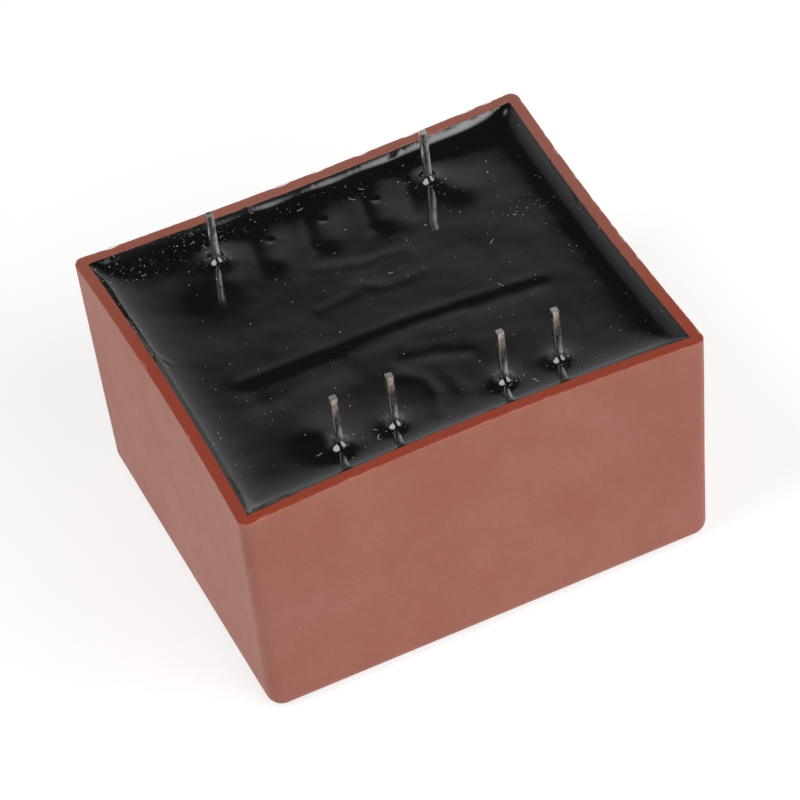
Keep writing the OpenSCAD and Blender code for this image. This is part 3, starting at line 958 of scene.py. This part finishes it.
def grained(name, light, dark, size, roughness, metallic=0.0, depth=0.01):
    """A finish of one grain: two colours, the grain's size and depth, and its polish."""
    material, tree, place = new_material(name)
    marks = add(tree, "ShaderNodeTexNoise", None, grain(place, size, 4.0, 0.6))
    share = add(tree, "ShaderNodeMapRange", None, {"Value": marks, "From Min": 0.3, "From Max": 0.7})
    colour = add(tree, *BLEND, {"Factor": share, "A": linear(dark), "B": linear(light)})
    rough = add(
        tree,
        "ShaderNodeMapRange",
        None,
        {"Value": marks, "To Min": roughness + 0.08, "To Max": roughness - 0.08},
    )
    bump = add(tree, "ShaderNodeBump", None, {"Strength": 0.3, "Distance": depth * MM, "Height": marks})
    return close_material(
        material, {"Base Color": colour, "Metallic": metallic, "Roughness": rough, "Normal": bump}
    )


# ---- the stage ----

FLOOR_WIDTH = 8000.0
FLOOR_GLOW = 0.7  # what the floor adds to its own lit colour where it is seen, so that it turns white

def add_camera(settings):
    """A long lens that looks down on the pin side from the front left."""
    turn, rise = settings.azimuth, settings.elevation
    back = Vector((-math.sin(turn) * math.cos(rise), -math.cos(turn) * math.cos(rise), math.sin(rise)))
    data = bpy.data.cameras.new("camera")
    data.lens = settings.lens
    camera = bpy.data.objects.new("camera", data)
    camera.matrix_world = (
        Matrix.Translation(Vector(settings.aim) + back * settings.distance)
        @ back.to_track_quat("Z", "Y").to_matrix().to_4x4()
        @ Matrix.Rotation(settings.roll, 4, "Z")
    )
    bpy.context.scene.collection.objects.link(camera)
    bpy.context.scene.camera = camera


def add_world():
    """A studio that is white at the horizon and dark overhead, so that gloss stays deep."""
    world = bpy.data.worlds.new("studio")
    world.use_nodes = True
    tree = world.node_tree
    tree.nodes.clear()
    place = add(tree, "ShaderNodeTexCoord").outputs["Generated"]
    height = add(
        tree, "ShaderNodeVectorMath", {"operation": "DOT_PRODUCT"}, {0: place, 1: SKY_UP}
    ).outputs["Value"]
    total = add(tree, "ShaderNodeValToRGB", {"stops": SKY}, {"Fac": height}).outputs["Color"]
    glossy = add(tree, "ShaderNodeLightPath").outputs["Is Glossy Ray"]
    for direction, inner, outer, brightness in SOFT_BOXES:
        toward = add(
            tree,
            "ShaderNodeVectorMath",
            {"operation": "DOT_PRODUCT"},
            {0: place, 1: Vector(direction).normalized()},
        ).outputs["Value"]
        glow = add(
            tree,
            "ShaderNodeMapRange",
            {"interpolation_type": "SMOOTHSTEP"},
            {
                "Value": toward,
                "From Min": math.cos(math.radians(outer)),
                "From Max": math.cos(math.radians(inner)),
                "To Max": brightness,
            },
        )
        total = add(tree, *SUM, {0: total, 1: add(tree, *PRODUCT, {0: glow, 1: glossy})})
    back = add(tree, "ShaderNodeBackground", None, {"Color": total, "Strength": 1.0})
    add(tree, "ShaderNodeOutputWorld", None, {"Surface": back})
    bpy.context.scene.world = world


def add_floor():
    """A wide pale floor that shows as white and keeps the part's shadow."""
    half = FLOOR_WIDTH / 2
    corners = [(-half, -half, 0.0), (half, -half, 0.0), (half, half, 0.0), (-half, half, 0.0)]
    floor = new_object("floor", new_mesh("floor", corners, [(0, 1, 2, 3)], smooth=False))
    material, tree, _ = new_material("painted_board_white")
    matt = add(tree, "ShaderNodeBsdfDiffuse", None, {"Color": linear("#f0f0ee")})
    soft = add(tree, "ShaderNodeBsdfDiffuse", None, {"Color": linear("#b0b0ae")})
    glow = add(tree, "ShaderNodeEmission", None, {"Color": (1, 1, 1, 1), "Strength": FLOOR_GLOW})
    shown = add(tree, "ShaderNodeAddShader", None, {0: soft, 1: glow})
    rays = add(tree, "ShaderNodeLightPath").outputs
    direct = add(tree, *SUM, {0: rays["Is Camera Ray"], 1: rays["Is Glossy Ray"]})
    seen = add(tree, *SUM, {0: direct, 1: rays["Is Transmission Ray"]})
    both = add(tree, "ShaderNodeMixShader", None, {0: seen, 1: matt, 2: shown})
    add(tree, "ShaderNodeOutputMaterial", None, {"Surface": both})
    floor.data.materials.append(material)


# Soft boxes: direction from the part, distance, width and height in metres, brightness with white as 1.
LAMPS = {
    "right_front": ((0.36, -0.62, 0.70), 0.9, 0.60, 0.46, 5.0),
    "left": ((-0.50, -0.10, 0.86), 0.9, 0.24, 0.24, 13.0),
    "left_back": ((-0.80, 0.58, 0.15), 1.2, 1.0, 0.5, 1.5),
}
# The room's brightness from the horizon up. It leans, because its right side is the lighter one.
SKY = [
    (0.0, 0.8),
    (0.12, 0.68),
    (0.25, 0.47),
    (0.42, 0.36),
    (0.55, 0.2),
    (0.63, 0.1),
    (0.7, 0.02),
    (1.0, 0.0),
]
SKY_UP = (-0.15, 0.0, 0.989)
# Soft boxes that show in gloss only: direction, full and faint angle off it, brightness.
SOFT_BOXES = (
    ((-0.50, -0.10, 0.86), 18.0, 27.0, 10.0),
    ((0.62, -0.50, 0.60), 18.0, 28.0, 8.0),
    ((0.44, 0.80, 0.41), 15.5, 26.0, 0.42),
    ((-0.55, 0.66, 0.50), 8.0, 28.0, 0.35),
)


def add_lamps():
    """A large box at the front right, a small bright one at the left and a broad weak one behind it."""
    target = Vector((0, 0, cup.height * MM / 2))
    for name, (direction, distance, width, height, brightness) in LAMPS.items():
        data = bpy.data.lights.new(name, "AREA")
        data.shape = "RECTANGLE"
        data.size = width
        data.size_y = height
        data.energy = brightness * math.pi * width * height
        lamp = bpy.data.objects.new(name, data)
        lamp.visible_glossy = False
        away = Vector(direction).normalized()
        lamp.matrix_world = (
            Matrix.Translation(target + away * distance) @ away.to_track_quat("Z", "Y").to_matrix().to_4x4()
        )
        bpy.context.scene.collection.objects.link(lamp)


# ---- settings, operators and panel ----


def length_property(name, description, default_mm):
    """A length that the user sets, kept in metres."""
    return bpy.props.FloatProperty(
        name=name, description=description, default=default_mm * MM, unit="LENGTH", precision=5
    )


def colour_property(name, description, default):
    """A colour that the user sets, as an sRGB hex string."""
    return bpy.props.StringProperty(name=name, description=description, default=default)


class CupSettings(bpy.types.PropertyGroup):
    wall_colour: colour_property("Wall", "Colour of the walls' skin", "#a05c4b")
    cloud_colour: colour_property("Clouds", "Colour of the palest clouds in the skin", "#a9685a")
    # painted shade: the rim's top is given this darker, redder colour, at its front left
    rim_shade_front: colour_property("Rim", "Colour of the rim's painted shade at the front left", "#88341f")
    # painted shade of the rim towards the back right, a little paler than at the front left
    rim_shade_back: colour_property("Rim shade, back", "Colour of the rim's painted shade towards the back right", "#8f5548")
    # partly the torn flash's own colour and partly a painted highlight, for the rounded rim edge that
    # catches light
    flash_and_highlight_colour: colour_property("Flash", "Colour of the torn flash on the rim's edge, with its painted highlight", "#cf9786")
    outer_edge: length_property("Outer edge", "Radius of the rim's outer edge", 0.13)
    inner_edge: length_property("Inner edge", "Radius of the rim's inner edge", 0.07)
    nick_depth: length_property("Nick depth", "Depth of the deepest chip in the rim's edge", 0.14)
    nick_count: bpy.props.IntProperty(name="Nicks", description="Chips round the rim", default=60)


class ResinSettings(bpy.types.PropertyGroup):
    colour: colour_property("Resin", "Colour of the resin", "#131213")
    dull_colour: colour_property("Dull resin", "Colour of the duller clouds", "#171617")
    depth: length_property("Depth", "How far the resin's level lies below the rim", 1.15)
    wall_climb: length_property("Wall climb", "How far the resin climbed the walls", 1.1)
    wall_reach: length_property("Wall reach", "How far in from the walls the climb fades", 0.9)
    sag: length_property("Sag", "How far the middle sank as the resin shrank", 0.03)
    sag_reach: length_property("Sag reach", "How far in from the walls the sag grows", 2.0)
    pin_climb: length_property("Pin climb", "How far the resin climbed the pins", 0.62)
    pin_reach: length_property("Pin reach", "How far out from the pins the climb fades", 0.45)
    pit_depth: length_property("Pit depth", "Depth of the pit over each vacant place", 0.09)
    relief: length_property("Relief", "Height of the swells, as a unit for their list", 1.0)


class PinSettings(bpy.types.PropertyGroup):
    colour: colour_property("Tin", "Colour of clean tin", "#d9d6cf")
    stain_colour: colour_property("Stain", "Colour of stained tin", "#847d74")
    edge_radius: length_property("Edge radius", "Radius of the wire's long edges", 0.05)
    tip_unevenness: length_property("Tip", "Unevenness of the cut tip", 0.05)


class DustSettings(bpy.types.PropertyGroup):
    colour: colour_property("Dust", "Colour of dust and lint", "#cfccc6")
    largest: length_property("Largest", "Half length of the largest speck", 0.06)
    smallest: length_property("Smallest", "Half length of the smallest speck", 0.01)
    amount: bpy.props.FloatProperty(name="Amount", description="Factor on the map of the dust", default=5.0)


class StageSettings(bpy.types.PropertyGroup):
    azimuth: bpy.props.FloatProperty(
        name="Azimuth", description="Camera's turn to the left", subtype="ANGLE", default=math.radians(20.26)
    )
    elevation: bpy.props.FloatProperty(
        name="Elevation", description="Camera's height", subtype="ANGLE", default=math.radians(45.27)
    )
    roll: bpy.props.FloatProperty(
        name="Roll", description="Camera's tilt", subtype="ANGLE", default=math.radians(-7.09)
    )
    distance: length_property("Distance", "From the lens to the aim", 373.8)
    lens: bpy.props.FloatProperty(name="Lens", description="Focal length in mm", default=203.06)
    aim: bpy.props.FloatVectorProperty(
        name="Aim",
        description="Point that the camera looks at",
        unit="LENGTH",
        default=(-0.00262, -0.00795, 0.02),
    )


class TRANSFORMER_OT_stage(bpy.types.Operator):
    """Adds the camera, the world, the floor and the lamps"""

    bl_idname = "transformer.stage"
    bl_label = "Stage"

    def execute(self, context):
        settings = context.scene.transformer_stage
        context.scene.view_settings.view_transform = "Standard"
        add_camera(settings)
        add_world()
        add_floor()
        add_lamps()
        return {"FINISHED"}


class TRANSFORMER_OT_cup(bpy.types.Operator):
    """Builds the moulded cup and the flash on its rim"""

    bl_idname = "transformer.cup"
    bl_label = "Moulded cup"

    def execute(self, context):
        settings = context.scene.transformer_cup
        need(cup.wall > 0.3, "the cup's wall could not be read from the frame")
        made = new_object("moulded_case", cup_mesh(settings))
        made.data.materials.append(polyester_moulding(settings))
        settle(made, ["case"])
        flash = run_tree(
            "rim_flash",
            burr_tree(),
            edge_line(cup.height - 0.05, 0.02),
            {
                "Thickness": 0.035 * MM,
                "Raggedness": 0.5 * MM,
                # the bead is paler than the walls: real torn flash, with a painted highlight of the lit edge
                "Material": grained("torn_flash_painted_highlight", settings.flash_and_highlight_colour, settings.wall_colour, 0.2, 0.6),
            },
        )
        settle(flash)
        return {"FINISHED"}


class TRANSFORMER_OT_resin(bpy.types.Operator):
    """Builds the cast resin with the surface that it set with"""

    bl_idname = "transformer.resin"
    bl_label = "Cast resin"

    def execute(self, context):
        settings = context.scene.transformer_resin
        marks = resin_marks(settings)
        values = {
            "Wall climb": settings.wall_climb,
            "Wall reach": settings.wall_reach,
            "Sag": settings.sag,
            "Sag reach": settings.sag_reach,
            "Ragged": 0.12 * MM,
            "Ragged size": 0.7 * MM,
            "Waves": 0.05 * MM,
            "Wave size": 6.0 * MM,
            "Streaks": 0.02 * MM,
            "Highest": (cup.height - 0.015) * MM,
            "Material": cast_resin(settings),
        }
        for name, points, edges, *_ in marks:
            values[name] = new_object(name, new_mesh(name, points, edges=edges))
        made = run_tree("cast_resin", surface_tree(marks), resin_base(settings), values)
        for name, *_ in marks:
            bpy.data.objects.remove(values[name])
        settle(made, ["potting"])
        return {"FINISHED"}


class TRANSFORMER_OT_pins(bpy.types.Operator):
    """Builds the tinned pins"""

    bl_idname = "transformer.pins"
    bl_label = "Tinned pins"

    def execute(self, context):
        settings = context.scene.transformer_pins
        need(PINS, "the frame has no pins")
        material = hot_tin(settings)
        tree = pin_tree()
        for number, (node, place) in enumerate(zip(PINS, PIN_PLACES)):
            low, high = box_mm(node)
            values = {
                "Side": PIN_SIDE * MM,
                "Length": (high[2] - low[2]) * MM,
                "Edge radius": settings.edge_radius,
                "Tip unevenness": settings.tip_unevenness,
                "Foot": (place[0] * MM, place[1] * MM, low[2] * MM),
                "Seed": 3.0 * number,
                "Material": material,
            }
            made = run_tree("tinned_" + node, tree, bpy.data.meshes.new(node), values)
            settle(made, [node])
        return {"FINISHED"}


class TRANSFORMER_OT_dust(bpy.types.Operator):
    """Scatters dust and lint over the resin"""

    bl_idname = "transformer.dust"
    bl_label = "Dust and lint"

    def execute(self, context):
        settings = context.scene.transformer_dust
        resin = bpy.data.objects["cast_resin"].data
        material = grained("dust", settings.colour, settings.colour, 0.1, 0.9)
        values = {
            "Smallest": settings.smallest,
            "Largest": settings.largest,
            "Amount": settings.amount,
            "Seed": 5,
            "Material": material,
        }
        settle(run_tree("dust_specks", speck_tree(), resin.copy(), values))
        values = {"Amount": 0.012 * settings.amount, "Seed": 9, "Material": material}
        settle(run_tree("lint", lint_tree(), resin.copy(), values))
        return {"FINISHED"}


class TRANSFORMER_OT_sealed(bpy.types.Operator):
    """Gives the pieces sealed in the resin their finishes"""

    bl_idname = "transformer.sealed"
    bl_label = "Sealed pieces"

    def execute(self, context):
        finishes = {
            "bobbin": grained("moulded_nylon_natural", "#ddd8c8", "#cfc8b4", 0.4, 0.5),
            "winding": grained("enamelled_copper_wire", "#b4602f", "#8c431d", 0.3, 0.35, 1.0, 0.05),
            "tape": grained("polyester_film_tape_yellow", "#e3bf45", "#d6ab2e", 2.0, 0.3),
            "lamination": grained("annealed_silicon_steel", "#767b83", "#4d5158", 1.5, 0.45, 1.0),
        }
        for group, nodes in SEALED.items():
            need(nodes, f"the frame has no {group}")
            for node in nodes:
                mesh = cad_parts[node].data
                mesh.materials.clear()
                mesh.materials.append(finishes[group])
        return {"FINISHED"}


OPERATORS = (
    TRANSFORMER_OT_stage,
    TRANSFORMER_OT_cup,
    TRANSFORMER_OT_resin,
    TRANSFORMER_OT_pins,
    TRANSFORMER_OT_dust,
    TRANSFORMER_OT_sealed,
)
SETTINGS = {
    "transformer_stage": StageSettings,
    "transformer_cup": CupSettings,
    "transformer_resin": ResinSettings,
    "transformer_pins": PinSettings,
    "transformer_dust": DustSettings,
}


class VIEW3D_PT_transformer(bpy.types.Panel):
    """Lists the steps in the order that they run in"""

    bl_label = "Potted transformer"
    bl_space_type = "VIEW_3D"
    bl_region_type = "UI"
    bl_category = "Transformer"

    def draw(self, context):
        for name, group in SETTINGS.items():
            for key in group.__annotations__:
                self.layout.prop(getattr(context.scene, name), key)
        for operator in OPERATORS:
            self.layout.operator(operator.bl_idname)


def register():
    for name, group in SETTINGS.items():
        bpy.utils.register_class(group)
        setattr(bpy.types.Scene, name, bpy.props.PointerProperty(type=group))
    for item in (*OPERATORS, VIEW3D_PT_transformer):
        bpy.utils.register_class(item)


def unregister():
    for item in (VIEW3D_PT_transformer, *reversed(OPERATORS)):
        bpy.utils.unregister_class(item)
    for name, group in SETTINGS.items():
        delattr(bpy.types.Scene, name)
        bpy.utils.unregister_class(group)


def main():
    register()
    bpy.ops.transformer.stage()
    bpy.ops.transformer.cup()
    bpy.ops.transformer.resin()
    bpy.ops.transformer.pins()
    bpy.ops.transformer.dust()
    bpy.ops.transformer.sealed()


if __name__ == "__main__":
    main()
